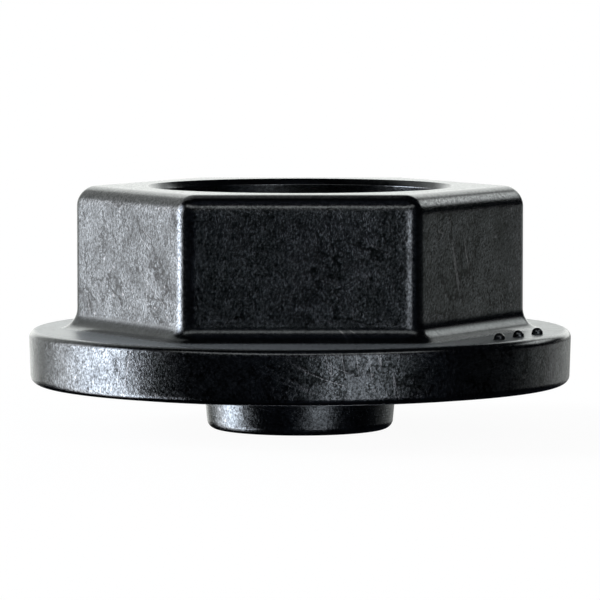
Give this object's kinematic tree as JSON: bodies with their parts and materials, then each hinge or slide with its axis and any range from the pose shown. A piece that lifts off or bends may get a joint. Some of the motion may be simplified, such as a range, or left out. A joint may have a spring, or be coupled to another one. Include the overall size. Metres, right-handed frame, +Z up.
{
  "type": "flanged hex nut",
  "caption": "Black flanged hex nut with a wide counterbore, a captive turning pressure washer set into its underside, raised marking pips and a spring-seated threaded pilot.",
  "frame": {"origin": "centre of the thread on the seat plane, which is the underside of the pressure washer", "axes": "+Z up the thread axis, from the pilot towards the open top; one hex flat faces -Y; the marking pips are near +X, towards -Y"},
  "size_m": [0.0456, 0.0456, 0.0205],
  "materials": {
    "nut_body": "satin black oxide on a forged skin",
    "drive_pins": "ground steel",
    "cover_washer": "zinc flake coating",
    "bore_circlip": "phosphated spring steel",
    "washer_snap_ring": "phosphated spring steel",
    "wave_spring": "rolled spring steel",
    "pressure_washer": "dull zinc plating",
    "threaded_core": "satin black oxide",
    "lock_ring": "natural nylon"
  },
  "bodies": {
    "nut": {"nut_body": "nut_body", "drive_pins": "drive_pins", "cover_washer": "cover_washer", "bore_circlip": "bore_circlip", "washer_snap_ring": "washer_snap_ring", "wave_spring": "wave_spring"},
    "washer": {"pressure_washer": "pressure_washer"},
    "core": {"threaded_core": "threaded_core", "lock_ring": "lock_ring"}
  },
  "joints": [
    {"name": "washer_spin", "type": "hinge", "parent": "nut", "child": "washer", "pos_m": [0, 0, 0.0025], "axis": [0, 0, 1], "continuous": true},
    {"name": "core_lift", "type": "slide", "parent": "nut", "child": "core", "axis": [0, 0, 1], "range_m": [0, 0.0015], "stiffness_N_per_m": 2500, "springref_m": -0.0015, "deforming": ["wave_spring"]}
  ]
}
